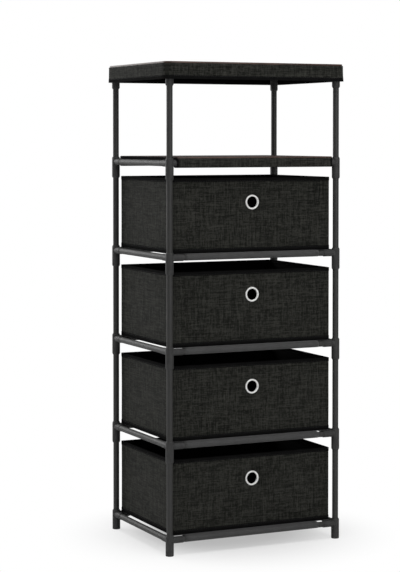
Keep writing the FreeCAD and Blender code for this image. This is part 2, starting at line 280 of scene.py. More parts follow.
# %% Board, grommet and thread finishes
def walnut_foil():
    """Printed dark walnut under lacquer: brown bands, near-black pores, a satin glint."""
    material, tree, place = new_material("dark_walnut_foil")
    figure = stretched_noise(tree, place, (190.0, 9.0, 9.0), detail=4.0)
    pores = stretched_noise(tree, place, (16.0, 0.7, 0.7))
    turns = add_node(tree, "Math", {0: figure, 1: 34.0}, operation="MULTIPLY")
    bands = add_node(tree, "Math", {0: turns}, operation="SINE")
    wood = two_tone(tree, bands, -1.0, 1.0, "#3a2821", "#553b31")
    open_pores = add_node(tree, "MapRange", {"Value": pores, "From Min": 0.52,
                                             "From Max": 0.7, "To Max": 0.6},
                          interpolation_type="SMOOTHSTEP")
    shaded = add_node(tree, "Mix", {0: open_pores, FIRST: wood, SECOND: "#251914"},
                      data_type="RGBA")
    close_material(tree, {"Base Color": shaded, "Roughness": 0.42, "IOR": 1.5,
                          "Specular IOR Level": 0.4},
                   height=pores, strength=0.12, depth=0.1 * MM)
    return material


def white_plastic():
    """Moulded polystyrene: a clean, bright gloss with a slight haze."""
    material, tree, place = new_material("gloss_white_polystyrene")
    haze = stretched_noise(tree, place, (5.0, 5.0, 5.0))
    gloss = add_node(tree, "MapRange", {"Value": haze, "From Min": 0.3, "From Max": 0.7,
                                        "To Min": 0.2, "To Max": 0.32},
                     interpolation_type="SMOOTHSTEP")
    close_material(tree, {"Base Color": "#f2f2f0", "Roughness": gloss, "IOR": 1.55})
    return material


def sewing_thread():
    """Twisted thread: the twist of 0.2 mm, drawn at 0.4 mm, gives each dash two greys."""
    material, tree, place = new_material("black_polyester_thread")
    twist = stretched_noise(tree, place, (0.4, 0.4, 0.4), detail=1.0)
    strand = add_node(tree, "Mix", {0: twist, FIRST: "#101010", SECOND: "#262626"},
                      data_type="RGBA")
    close_material(tree, {"Base Color": strand, "Roughness": 0.7, "Sheen Weight": 0.1})
    return material


WALNUT = walnut_foil()
WHITE = white_plastic()
THREAD_BLACK = sewing_thread()
print("board, grommet and thread:", WALNUT.name, WHITE.name, THREAD_BLACK.name)

# %% [markdown]
# ## Turning a mesh into a piece
# Every piece is finished the same way: faces shade smooth, edges sharper than a set angle
# stay crisp, and the piece rides on its body and stands for its CAD nodes.
# Each piece could do that in lines of its own, but one function can't forget a step.

# %% Piece helpers
CRISP_ANGLE = math.radians(35)      # an edge that turns more than this keeps its line


def to_mesh_data(form, name):
    """Write a bmesh into mesh data and let it go."""
    mesh = bpy.data.meshes.new(name)
    form.to_mesh(mesh)
    form.free()
    return mesh


def put_in_scene(name, data):
    item = bpy.data.objects.new(name, data)
    bpy.context.scene.collection.objects.link(item)
    return item


def soften_shading(form):
    for face in form.faces:
        face.smooth = True
    for edge in form.edges:
        if len(edge.link_faces) == 2:
            edge.smooth = edge.calc_face_angle(0.0) < CRISP_ANGLE


def make_piece(name, form, materials, body, nodes=()):
    """Turn a bmesh into a named object that rides on its body and replaces its CAD nodes."""
    soften_shading(form)
    mesh = to_mesh_data(form, name)
    for material in materials:
        mesh.materials.append(material)
    piece = put_in_scene(name, mesh)
    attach(piece, body)
    for node in nodes:
        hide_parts(node)
    return piece


def outward(form):
    bmesh.ops.recalc_face_normals(form, faces=form.faces)


def add_form(target, form):
    """Add one bmesh to another and let it go."""
    carrier = to_mesh_data(form, "carrier")
    target.from_mesh(carrier)
    bpy.data.meshes.remove(carrier)


print("edges stay crisp above %.0f degrees" % math.degrees(CRISP_ANGLE))

# %% [markdown]
# ## Tubes
# The uprights and rails are coated steel tube. A capped cylinder would do for what shows, but
# each is an open cylinder given a wall by Solidify's own operator, because a cut-away view
# has to show a hollow tube. Their ends stay hidden in the corner pieces.

# %% Uprights and rails
TUBE_WALL = 0.6 * MM
TUBE_COAT = 0.5 * MM            # powder coat on the tubes that wear no cloth
TUBE_SIDES = 40
MICRON_DIGITS = 6               # tubes whose places agree to a micrometre are one


def add_tube(form, start, end, coat):
    run = end - start
    turn = run.to_track_quat("Z", "Y").to_matrix().to_4x4()
    place = Matrix.Translation((start + end) / 2) @ turn
    made = bmesh.ops.create_cone(form, cap_ends=False, segments=TUBE_SIDES,
                                 radius1=TUBE_RADIUS + coat, radius2=TUBE_RADIUS + coat,
                                 depth=run.length, matrix=place)
    faces = list({face for vert in made["verts"] for face in vert.link_faces})
    bmesh.ops.solidify(form, geom=faces, thickness=TUBE_WALL + coat)


def tube_group(node, along, coat=TUBE_COAT):
    """The tubes of one node, whose runs all lie along axis number along."""
    low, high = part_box(node)
    ends = [(low[axis] + TUBE_RADIUS, high[axis] - TUBE_RADIUS) for axis in range(3)]
    ends[along] = (low[along], high[along])
    one, other = [axis for axis in range(3) if axis != along]
    tubes = bmesh.new()
    for a in sorted({round(place, MICRON_DIGITS) for place in ends[one]}):
        for b in sorted({round(place, MICRON_DIGITS) for place in ends[other]}):
            start = Vector((0, 0, 0))
            start[one], start[other] = a, b
            end = start.copy()
            start[along], end[along] = ends[along]
            add_tube(tubes, start, end, coat)
    outward(tubes)
    make_piece("tubes_" + node, tubes, [POWDER_COAT], "frame", [node])


for tier in TIERS:
    tube_group("tier_%d_uprights" % tier, 2)
for level in LEVELS:
    tube_group("level_%d_front_back_rails" % level, 0, coat=0)
    tube_group("level_%d_side_rails" % level, 1)
print("tube radius %.2f mm" % (TUBE_RADIUS / MM))

# %% [markdown]
# ## Corner pieces
# Each corner is one moulding: an upright sleeve with tapered ends, and two level arms. It
# could be cut from a block, but sleeve, arms and sockets are all round, so each is spun from
# a half outline and they are joined. A fine voxel remesh followed by a little smoothing then
# melts the joints into the small fillets that a mould gives. One corner is made for each
# kind, and quarter turns carry it to the other three.

# %% Corner outlines
SPIN_STEPS = 40
WELD = 1e-6                     # metres: vertices closer than this become one
SLEEVE_RADIUS = 9.1 * MM
OPEN_TAPER = (1.4 * MM, 3.2 * MM)      # how far an open end narrows, and over what height
CLOSED_TAPER = (0.8 * MM, 0.8 * MM)
ARM_RADIUS = 7.65 * MM
ARM_REACH = 32.5 * MM
ARM_LIP = 0.4 * MM
SOCKET_GAP = 0.15 * MM
SOCKET_RADIUS = TUBE_RADIUS + TUBE_COAT + SOCKET_GAP
MOUTH_DEPTH = 5.0 * MM          # a socket flares towards its mouth


def spun(outline, axis, steps=SPIN_STEPS, centre=(0, 0, 0), closed=False):
    """Turn an outline that starts and ends on the axis, or a closed section, once round."""
    form = bmesh.new()
    verts = [form.verts.new(point) for point in outline]
    following = verts[1:] + verts[:1] if closed else verts[1:]
    edges = [form.edges.new(pair) for pair in zip(verts, following)]
    bmesh.ops.spin(form, geom=verts + edges, cent=centre, axis=axis,
                   angle=2 * math.pi, steps=steps, use_merge=True)
    bmesh.ops.remove_doubles(form, verts=form.verts, dist=WELD)
    outward(form)
    return form


def sleeve_form(low, high, low_taper, high_taper):
    points = [(0, low), (SLEEVE_RADIUS - low_taper[0], low), (SLEEVE_RADIUS, low + low_taper[1]),
              (SLEEVE_RADIUS, high - high_taper[1]), (SLEEVE_RADIUS - high_taper[0], high),
              (0, high)]
    return spun([Vector((radius, 0, z)) for radius, z in points], (0, 0, 1))


def arm_form():
    points = [(0, 0), (ARM_RADIUS, 0), (ARM_RADIUS, ARM_REACH - ARM_LIP),
              (ARM_RADIUS - ARM_LIP, ARM_REACH), (0, ARM_REACH)]
    return spun([Vector((reach, 0, radius)) for radius, reach in points], (1, 0, 0))


def socket_form(low, high, mouth=SOCKET_RADIUS):
    """What a socket takes away: from its blind end at low it flares to the mouth and past."""
    points = [(0, low), (SOCKET_RADIUS, low), (SOCKET_RADIUS, high - MOUTH_DEPTH),
              (mouth, high), (mouth, high + MM), (0, high + MM)]
    return spun([Vector((radius, 0, z)) for radius, z in points], (0, 0, 1))


print("sockets %.2f mm across for tubes of %.2f mm"
      % (2 * SOCKET_RADIUS / MM, 2 * (TUBE_RADIUS + TUBE_COAT) / MM))

# %% Joining and melting a corner
WEB_MIDDLE = -12.75 * MM        # the web between a sleeve's two sockets, from the rail axis
WEB_HALF = 1.0 * MM
ARM_SOCKET_STOP = 12.0 * MM     # upright's axis to the blind end of an arm's socket
MOUTH_WALL = 0.5 * MM
VOXEL = 0.42 * MM
FAIR_ROUNDS = 4                 # smoothing that turns the joints into fillets
FAIR_SHARE = 0.5
KEPT_FACES = 0.18               # share of the voxel faces that the shape needs
QUARTER = math.pi / 2


def apply_modifiers(piece):
    """Bake a piece's modifiers into its mesh."""
    shaped = piece.evaluated_get(bpy.context.evaluated_depsgraph_get())
    baked = bpy.data.meshes.new_from_object(shaped)
    piece.modifiers.clear()
    piece.data = baked


def join_form(target, form, operation):
    """Boolean of a helper object and a form, applied to the object."""
    other = put_in_scene("helper", to_mesh_data(form, "helper"))
    cut = target.modifiers.new("join", "BOOLEAN")
    cut.operation = operation
    cut.solver = "EXACT"
    cut.object = other
    apply_modifiers(target)
    bpy.data.objects.remove(other)


def turned(form, angle, axis):
    """Turn a form about an axis through the origin."""
    bmesh.ops.rotate(form, verts=form.verts, cent=(0, 0, 0),
                     matrix=Matrix.Rotation(angle, 3, axis))
    return form


def melt(corner):
    """Melt a corner's joints into fillets, and thin out its faces."""
    remesh = corner.modifiers.new("melt", "REMESH")
    remesh.mode = "VOXEL"
    remesh.voxel_size = VOXEL
    fair = corner.modifiers.new("fair", "SMOOTH")
    fair.iterations = FAIR_ROUNDS
    fair.factor = FAIR_SHARE
    thin = corner.modifiers.new("thin", "DECIMATE")
    thin.ratio = KEPT_FACES
    apply_modifiers(corner)


def corner_pattern(low, high, low_open=True, high_open=True):
    """One moulded corner at the origin with its arms along +X and +Y."""
    sleeve = sleeve_form(low, high, OPEN_TAPER if low_open else CLOSED_TAPER,
                         OPEN_TAPER if high_open else CLOSED_TAPER)
    corner = put_in_scene("helper", to_mesh_data(sleeve, "helper"))
    for turn in (0, QUARTER):
        join_form(corner, turned(arm_form(), turn, "Z"), "UNION")
    if low_open:
        lower = socket_form(WEB_HALF - WEB_MIDDLE, -low)
        join_form(corner, turned(lower, 2 * QUARTER, "X"), "DIFFERENCE")
    if high_open:
        join_form(corner, socket_form(WEB_MIDDLE + WEB_HALF, high), "DIFFERENCE")
    for turn in (0, QUARTER):
        socket = socket_form(ARM_SOCKET_STOP, ARM_REACH, ARM_RADIUS - MOUTH_WALL)
        join_form(corner, turned(turned(socket, QUARTER, "Y"), turn, "Z"), "DIFFERENCE")
    melt(corner)
    return corner


print("corners melt at voxels of %.2f mm" % (VOXEL / MM))

# %% Twenty-four corners
SLEEVE_DROP = 37.5 * MM         # rail axis to a sleeve's lower end
SLEEVE_RISE = 12 * MM           # rail axis to its upper end
TOP_RISE = 7.6 * MM             # the same at the top, where the sleeve is closed


def corner_group(node, pattern, level):
    corners = bmesh.new()
    for turn, (side_x, side_y) in enumerate(CORNER_SIGNS):
        one = bmesh.new()
        one.from_mesh(pattern.data)
        place = Matrix.Translation((side_x * POLE_X, side_y * POLE_Y, rail_z(level)))
        bmesh.ops.transform(one, verts=one.verts,
                            matrix=place @ Matrix.Rotation(turn * QUARTER, 4, "Z"))
        add_form(corners, one)
    make_piece("corners_" + node, corners, [CORNER_PLASTIC], "frame", [node])


foot_corner = corner_pattern(-rail_z(1), SLEEVE_RISE, low_open=False)
level_corner = corner_pattern(-SLEEVE_DROP, SLEEVE_RISE)
top_corner = corner_pattern(-SLEEVE_DROP, TOP_RISE, high_open=False)
corner_group("foot_connectors", foot_corner, 1)
for level in LEVELS[1:-1]:
    corner_group("level_%d_connectors" % level, level_corner, level)
corner_group("top_connectors", top_corner, 6)
print("faces of a level's corner:", len(level_corner.data.polygons))
for pattern in (foot_corner, level_corner, top_corner):
    bpy.data.objects.remove(pattern)

# %% [markdown]
# ## Boxes and bands of cloth
# A bin, its lining, its tapes and the lid's skirt all go round a rectangle with rounded upright
# corners. A cloth simulation could shape them, but boards hold them nearly flat, so each
# starts from a cube with its uprights bevelled. Evenly spaced cuts give faces small enough
# for the cloth to swell a little between its seams, and Solidify adds the cloth's thickness
# on the inner side, where the inner face may take another material.

# %% Boxes with rounded corners
CORNER_STEPS = 5
STEEP = 0.99          # a direction whose z is above this counts as upright


def round_edges(form, edges, radius, steps):
    bmesh.ops.bevel(form, geom=edges, offset=radius, segments=steps, profile=0.5,
                    affect="EDGES", material=-1)


def rounded_box(low, high, radius):
    """Closed box with rounded upright corners."""
    form = bmesh.new()
    middle = Matrix.Translation((low + high) / 2)
    bmesh.ops.create_cube(form, size=1.0, matrix=middle @ Matrix.Diagonal((*(high - low), 1)))
    uprights = [edge for edge in form.edges
                if abs((edge.verts[0].co - edge.verts[1].co).normalized().z) > STEEP]
    round_edges(form, uprights, radius, CORNER_STEPS)
    return form


def remove_caps(form, top=False, bottom=False):
    form.normal_update()
    doomed = [face for face in form.faces
              if (top and face.normal.z > STEEP) or (bottom and face.normal.z < -STEEP)]
    bmesh.ops.delete(form, geom=doomed, context="FACES")


def whole(form):
    return form.verts[:] + form.edges[:] + form.faces[:]


def slice_form(form, low, high, step):
    """Cut a form with evenly spaced planes along each axis."""
    for axis in range(3):
        length = high[axis] - low[axis]
        pieces = max(1, round(length / step))
        normal = Vector((0, 0, 0))
        normal[axis] = 1
        for cut in range(1, pieces):
            place = Vector((0, 0, 0))
            place[axis] = low[axis] + length * cut / pieces
            bmesh.ops.bisect_plane(form, geom=whole(form), plane_co=place, plane_no=normal)


def inset_box(low, high, inset):
    """The same box with its four sides moved inwards."""
    side = Vector((inset, inset, 0))
    return low + side, high - side


def sideways(place, low, high, radius):
    """Level direction straight out of a rounded rectangle's side at a point."""
    near_x = min(max(place.x, low.x + radius), high.x - radius)
    near_y = min(max(place.y, low.y + radius), high.y - radius)
    return Vector((place.x - near_x, place.y - near_y, 0)).normalized()


print("cloth corners turn in", CORNER_STEPS, "steps")

# %% Folds, swell and thickness
CLOSE = 0.01 * MM               # points nearer than this are at the same place


def new_parts(made, kind):
    """The new vertices or edges that an operator reports."""
    return [part for part in made["geom"] if isinstance(part, kind)]


def fold_in(form, height, low, high, radius, inward, rise):
    """Turn the free edge at a height inwards, and then up or down by rise."""
    edges = [edge for edge in form.edges if edge.is_boundary
             and all(abs(vert.co.z - height) < CLOSE for vert in edge.verts)]
    for step_in, step_up in ((inward, 0), (0, rise)):
        if step_in or step_up:
            made = bmesh.ops.extrude_edge_only(form, edges=edges)
            edges = new_parts(made, bmesh.types.BMEdge)
            near, far = inset_box(low, high, step_in)
            for vert in new_parts(made, bmesh.types.BMVert):
                if step_in > radius:
                    vert.co.x = min(max(vert.co.x, near.x), far.x)
                    vert.co.y = min(max(vert.co.y, near.y), far.y)
                else:
                    vert.co -= sideways(vert.co, low, high, radius) * step_in
                vert.co.z += step_up
    bmesh.ops.remove_doubles(form, verts=form.verts, dist=CLOSE)


def swell(form, low, high, radius, amount):
    """Move every point straight out of its side by amount(place, low, high)."""
    for vert in form.verts:
        vert.co += sideways(vert.co, low, high, radius) * amount(vert.co, low, high)


def add_wall(piece, thickness, inner_slot=0):
    """Solidify inwards; the inner face and the rim take material number inner_slot."""
    wall = piece.modifiers.new("cloth thickness", "SOLIDIFY")
    wall.thickness = thickness
    wall.offset = -1.0
    wall.material_offset = inner_slot
    wall.material_offset_rim = inner_slot


def extrude_across(form, edge_points, stops):
    """Draw an open edge in side view at the first stop and extrude it along X to the last."""
    verts = [form.verts.new(point + Vector((stops[0], 0, 0))) for point in edge_points]
    edges = [form.edges.new(pair) for pair in zip(verts, verts[1:])]
    for before, after in zip(stops, stops[1:]):
        made = bmesh.ops.extrude_edge_only(form, edges=edges)
        edges = new_parts(made, bmesh.types.BMEdge)
        bmesh.ops.translate(form, verts=new_parts(made, bmesh.types.BMVert),
                            vec=(after - before, 0, 0))


def even_stops(low, high, step):
    """Evenly spaced places from low to high, about a step apart."""
    count = max(1, round((high - low) / step))
    return [low + (high - low) * number / count for number in range(count + 1)]


print("points within %.2f mm are at one place" % (CLOSE / MM))

# %% [markdown]
# ## Stitches
# Thread shows as a row of short, fat dashes. A bump pattern could draw them, but it goes flat
# at a seam's edge, so they are real. One low round bead is stretched into a dash and copied
# along the seam. Each has only a few dozen faces, because there are thousands of them.

# %% Stitch rows
STITCH_LENGTH = 3.0 * MM
STITCH_PITCH = 4.4 * MM
THREAD_WIDTH = 0.55 * MM
BEAD_SIDES = 6
BEAD_RINGS = 4


def add_stitches(form, start, end):
    """A straight row of dashes: one bead, repeated by a spin that only slides."""
    count = max(2, int((end - start).length / STITCH_PITCH))
    pitch = (end - start) / count
    turn = pitch.to_track_quat("X", "Z").to_matrix().to_4x4()
    stretch = Matrix.Diagonal((STITCH_LENGTH, THREAD_WIDTH, THREAD_WIDTH, 1))
    row = bmesh.new()
    bmesh.ops.create_uvsphere(row, u_segments=BEAD_SIDES, v_segments=BEAD_RINGS, radius=0.5,
                              matrix=Matrix.Translation(start + pitch / 2) @ turn @ stretch)
    bmesh.ops.spin(row, geom=whole(row), cent=(0, 0, 0), axis=(0, 0, 1), dvec=pitch,
                   angle=0, steps=count - 1, use_duplicate=True)
    add_form(form, row)


def stitch_round(form, low, high, height, corner):
    """Rows along the four sides of a rectangle, stopping short of its rounded corners."""
    for y in (low.y, high.y):
        add_stitches(form, Vector((low.x + corner, y, height)),
                     Vector((high.x - corner, y, height)))
    for x in (low.x, high.x):
        add_stitches(form, Vector((x, low.y + corner, height)),
                     Vector((x, high.y - corner, height)))


print("a stitch every %.1f mm" % (STITCH_PITCH / MM))

# %% [markdown]
# ## Slings
# Each bin stands on a cloth sling that wraps round the front and back rails and is sewn back
# on itself. It could be a flat sheet with two rolls, but its edge in side view runs along the
# flat, round one rail and in again under the flat in one go, so that edge is drawn once and
# extruded across. Then the corners are cut away beside the arms, and the flat sags a little
# between the rails.

# %% Sling outline
SLING_THICKNESS = 0.5 * MM
SLING_TOP = 7.45 * MM           # rail axis to the upper face of the flat cloth
SLING_GAP = 0.1 * MM            # rail surface to the cloth
SLING_NOTCH = 8 * MM            # rail axis to the cloth's edge beside an arm
SLING_STEP = 12 * MM
HEM_RETURN = 20 * MM            # cloth sewn back under the flat
WRAP_STEPS = 22
WRAP_ANGLE = math.radians(262)


def sling_edge(z):
    """Half a sling in side view: from its middle, round the rail and back under the flat."""
    radius = TUBE_RADIUS + SLING_GAP + SLING_THICKNESS
    rail = Vector((0, -POLE_Y, z))
    top = z + SLING_TOP
    points = [Vector((0, y, top)) for y in even_stops(0, -POLE_Y + SLING_NOTCH, SLING_STEP)]
    for step in range(WRAP_STEPS + 1):
        angle = math.pi / 2 + WRAP_ANGLE * step / WRAP_STEPS
        lift = (SLING_TOP - radius) * max(0, math.sin(angle)) ** 2
        points.append(rail + Vector((0, math.cos(angle), math.sin(angle))) * (radius + lift))
    under = z + TUBE_RADIUS - SLING_GAP
    points.append(Vector((0, -POLE_Y + radius + TUBE_RADIUS, under)))
    points.append(Vector((0, -POLE_Y + radius + HEM_RETURN, under)))
    return points


print("points in half a sling's edge:", len(sling_edge(0)))

# %% Four slings
HEM_LEFT = 36 * MM              # pole axis to the side end of a hem: a sling shifts on its rails
HEM_RIGHT = 47 * MM
WRAP_LENGTH = 5.3 * TUBE_RADIUS         # cloth that goes round one rail
SLING_SAG = 0.4 * MM
SAG_SHARE = 0.7                 # the part of the sag that is there all over
SAG_WANDER = 0.6                # the part that comes and goes
SAG_PATCH = 45 * MM


def make_sling(level):
    node = "sling_%d" % level
    low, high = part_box(node)
    z = rail_z(level)
    hem_left = HEM_LEFT - POLE_X
    hem_right = POLE_X - HEM_RIGHT
    notch = POLE_Y - SLING_NOTCH
    front = sling_edge(z)
    back = [Vector((0, -point.y, point.z)) for point in reversed(front)]
    sling = bmesh.new()
    stops = [low.x] + even_stops(hem_left, hem_right, SLING_STEP) + [high.x]
    extrude_across(sling, back + front[1:], stops)

    def beside_arms(face):
        middle = face.calc_center_median()
        past_hem = not hem_left < middle.x < hem_right
        return past_hem and (abs(middle.y) > notch or middle.z < z + TUBE_RADIUS)

    doomed = [face for face in sling.faces if beside_arms(face)]
    bmesh.ops.delete(sling, geom=doomed, context="FACES")
    outward(sling)
    for vert in sling.verts:
        if vert.co.z > z + TUBE_RADIUS and abs(vert.co.y) < notch:
            slack = 1 - (vert.co.y / notch) ** 2
            wander = SAG_SHARE + SAG_WANDER * noise.noise(vert.co / SAG_PATCH)
            vert.co.z -= SLING_SAG * slack * wander
    piece = make_piece("sling_cloth_%d" % level, sling, [SLING_CLOTH], "frame",
                       [node])
    add_wall(piece, SLING_THICKNESS)
    seams = bmesh.new()
    seam_z = z + TUBE_RADIUS - SLING_GAP
    for side in (-1, 1):
        seam_y = side * (POLE_Y - TUBE_RADIUS - HEM_RETURN)
        add_stitches(seams, Vector((hem_left, seam_y, seam_z)),
                     Vector((hem_right, seam_y, seam_z)))
    thread = make_piece("sling_stitches_%d" % level, seams, [THREAD_BLACK], "frame")
    cut_length = 2 * (POLE_Y + WRAP_LENGTH + HEM_RETURN)
    return cut_length


for level in BINS:
    cut_length = make_sling(level)
print("slings: %d, each cut %.1f mm long" % (len(BINS), cut_length / MM))

# %% [markdown]
# ## Bins
# A bin is a skin of linen cloth and a lining of black non-woven, sewn together over four stiff
# boards, so its walls stand straight and its faces stay nearly flat. A plain bevelled box
# would look like painted wood. What tells cloth from it is small: corners that round off, a
# slight swell between the seams, and a darker tape folded over the rim and round the foot.

# %% Bin skin and lining
BIN_CORNER = 2.5 * MM
LINING_CORNER = 0.8 * MM
SKIN = 0.6 * MM
BIN_WALL = 3.0 * MM
CLOTH_STEP = 9 * MM
GROMMET_HOLE = 14.85 * MM
HOLE_STEPS = 48


def pierce(form, centre, wall_y):
    """Cut a round hole through the front wall: take out a square and bridge it to a circle."""
    reach = GROMMET_HOLE + CLOTH_STEP
    near = [face for face in form.faces
            if abs(face.calc_center_median().y - wall_y) < MM
            and abs(face.calc_center_median().x - centre.x) < reach
            and abs(face.calc_center_median().z - centre.z) < reach]
    bmesh.ops.delete(form, geom=near, context="FACES")
    square = [edge for edge in form.edges if edge.is_boundary
              and all((vert.co - centre).length < 2 * reach for vert in edge.verts)]
    place = Matrix.Translation((centre.x, wall_y, centre.z))
    circle = bmesh.ops.create_circle(form, cap_ends=False, segments=HOLE_STEPS,
                                     radius=GROMMET_HOLE,
                                     matrix=place @ Matrix.Rotation(QUARTER, 4, "X"))["verts"]
    rim = list({edge for vert in circle for edge in vert.link_edges})
    bmesh.ops.bridge_loops(form, edges=square + rim)


def bin_pattern(inset, step):
    """Open cloth box of the lowest bin, moved inwards by inset, with its finger hole."""
    low, high = inset_box(*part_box("drawer_1_fabric_bin"), inset)
    low.z += inset
    form = rounded_box(low, high, max(BIN_CORNER - inset, LINING_CORNER))
    remove_caps(form, top=True)
    slice_form(form, low, high, step)
    hole_low, hole_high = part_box("drawer_1_grommet")
    pierce(form, (hole_low + hole_high) / 2, low.y)
    outward(form)
    return form


skin_pattern = bin_pattern(0, CLOTH_STEP)
lining_pattern = bin_pattern(BIN_WALL - SKIN, 2 * CLOTH_STEP)
print("faces of a skin and a lining:", len(skin_pattern.faces), len(lining_pattern.faces))

# %% [markdown]
# ## Edge tapes
# A tape is a band that goes round the bin and is folded: over the rim and down inside, or
# round the foot and in under the floor. A darker stripe on the skin would lack its thickness.
# So its free edge is extruded inwards and then down, and the folds are bevelled, because
# cloth never folds to a knife edge.

# %% Edge tapes
TAPE_THICKNESS = 0.6 * MM
RIM_TAPE_DEPTH = 8.5 * MM
FOOT_TAPE_DEPTH = 9.5 * MM
RIM_SPAN = BIN_WALL + 2 * TAPE_THICKNESS       # across the rim, with tape on both sides
FOLD_ANGLE = math.radians(60)
FOLD_ROUND = 0.9 * MM
FOLD_STEPS = 3
SEAM_INSET = 1.8 * MM           # tape's edge to its row of stitches
STITCH_CORNER = 8 * MM


def tape_pattern(rim):
    """Tape of the lowest bin, for its rim or for its foot."""
    low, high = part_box("drawer_1_edge_tapes")
    corner = BIN_CORNER + TAPE_THICKNESS
    if rim:
        low.z = high.z - RIM_TAPE_DEPTH
    else:
        high.z = low.z + FOOT_TAPE_DEPTH
    form = rounded_box(low, high, corner)
    remove_caps(form, top=True, bottom=True)
    slice_form(form, low, high, CLOTH_STEP)
    if rim:
        fold_in(form, high.z, low, high, corner, RIM_SPAN, -RIM_TAPE_DEPTH)
    else:
        fold_in(form, low.z, low, high, corner, FOOT_TAPE_DEPTH, 0)
    outward(form)
    folds = [edge for edge in form.edges
             if len(edge.link_faces) == 2 and edge.calc_face_angle(0) > FOLD_ANGLE]
    round_edges(form, folds, FOLD_ROUND, FOLD_STEPS)
    return form


def tape_stitches(level):
    """One row on the rim tape outside, one on the foot tape, and one on the rim inside."""
    low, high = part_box("drawer_%d_edge_tapes" % level)
    rim_row = high.z - RIM_TAPE_DEPTH + SEAM_INSET
    seams = bmesh.new()
    stitch_round(seams, low, high, rim_row, STITCH_CORNER)
    stitch_round(seams, low, high, low.z + FOOT_TAPE_DEPTH - SEAM_INSET, STITCH_CORNER)
    stitch_round(seams, *inset_box(low, high, RIM_SPAN), rim_row, STITCH_CORNER)
    return seams


rim_pattern = tape_pattern(rim=True)
foot_pattern = tape_pattern(rim=False)
print("faces of the two tapes:", len(rim_pattern.faces), len(foot_pattern.faces))

# %% [markdown]
# ## Boards
# The base boards, the shelf board and the lid board are flat boards whose edges are eased by a
# small round, which is what catches a line of light along the top. Bevel could be a modifier,
# but only the flat faces' edges are eased and not the corners', so the operator does it.

# %% Boards
EDGE_STEPS = 3


def board(name, node, material, body, corner, ease):
    """Flat board in a node's box: rounded corners, and edges eased by a small round."""
    form = rounded_box(*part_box(node), corner)
    form.normal_update()
    arrises = [edge for edge in form.edges
               if any(abs(face.normal.z) > STEEP for face in edge.link_faces)]
    round_edges(form, arrises, ease, EDGE_STEPS)
    make_piece(name, form, [material], body, [node])


print("board edges ease in", EDGE_STEPS, "steps")

# %% [markdown]
# ## Grommets
# The finger hole is lined by a white ring, and a flat ring inside the bin clips over its neck.
# A torus would do for the face alone. Each section is drawn once, the first with a domed face,
# and spun about the hole's axis. The neck behind the face is wider than the hole in the face,
# so that from the side the eye sees dark cloth behind the ring and no white tunnel.

# %% Grommets
RING_STEPS = 72
DOME_STEPS = 10
DOME_SHARE = 0.8                # how much of the flange's depth the dome takes
FLANGE = 2.0 * MM
BORE = 12.6 * MM                # radii from here on
NECK_BORE = 13.7 * MM
NECK = 14.7 * MM
SLACK = 0.2 * MM                # a flange's outline inside its CAD box
CLIP_GAP = 0.15 * MM
RING_EASE = 0.3 * MM


def spun_ring(section, centre):
    """Spin a closed section of (radius, depth) points about an axis along Y."""
    points = [centre + Vector((radius, depth, 0)) for radius, depth in section]
    return spun(points, (0, 1, 0), steps=RING_STEPS, centre=centre, closed=True)


def grommet_section(outer, back):
    """A domed face between bore and outer radius, and a neck that reaches back."""
    middle = (outer + BORE) / 2
    half = (outer - BORE) / 2
    section = []
    for step in range(DOME_STEPS + 1):
        angle = math.pi * step / DOME_STEPS
        section.append((middle - half * math.cos(angle),
                        FLANGE * (1 - math.sin(angle)) * DOME_SHARE))
    return section + [(outer, FLANGE), (NECK, FLANGE), (NECK, back), (NECK_BORE, back),
                      (NECK_BORE, FLANGE), (BORE, FLANGE)]


def clip_section(outer, thick):
    """A flat ring with eased edges that fits over the neck."""
    hole = NECK + CLIP_GAP
    ease = RING_EASE
    return [(hole, ease), (hole + ease, 0), (outer - ease, 0), (outer, ease),
            (outer, thick - ease), (outer - ease, thick), (hole + ease, thick),
            (hole, thick - ease)]


def make_grommet(level):
    body = "drawer_%d" % level
    low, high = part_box(body + "_grommet")
    clip_low, clip_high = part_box(body + "_grommet_ring")
    centre = Vector(((low.x + high.x) / 2, low.y, (low.z + high.z) / 2))
    outer = (high.x - low.x) / 2 - SLACK
    face = spun_ring(grommet_section(outer, high.y - low.y), centre)
    make_piece("finger_grommet_%d" % level, face, [WHITE], body,
               [body + "_grommet"])
    centre.y = clip_low.y
    clip = spun_ring(clip_section(outer, clip_high.y - clip_low.y), centre)
    make_piece("grommet_ring_%d" % level, clip, [WHITE], body,
               [body + "_grommet_ring"])


print("finger holes %.1f mm across" % (2 * BORE / MM))

# %% [markdown]
# ## Four finished bins
# The bins differ only in height. Each could be modelled in place, but the patterns of the
# lowest one are lifted to each level instead. The swell is worked in after the lift, from a
# noise in space, so that no two bins bulge alike.

# %% Four bins
BIN_SWELL = 0.28 * MM           # how far a wall may stand out between its seams
SWELL_SIZE = 60 * MM
TAPE_CLOTH = 0.9 * TAPE_THICKNESS       # a little less, so that it clears the skin


def raised(pattern, level):
    """A copy of a pattern of the lowest level, lifted to another level."""
    form = pattern.copy()
    bmesh.ops.translate(form, verts=form.verts, vec=(0, 0, rail_z(level) - rail_z(1)))
    return form


def bin_swell(place, low, high):
    """Nothing at the foot and the rim, where tape holds the wall, and most between them."""
    free = math.sin(math.pi * min(max((place.z - low.z) / (high.z - low.z), 0), 1))
    return BIN_SWELL * free * noise.noise(place / SWELL_SIZE)


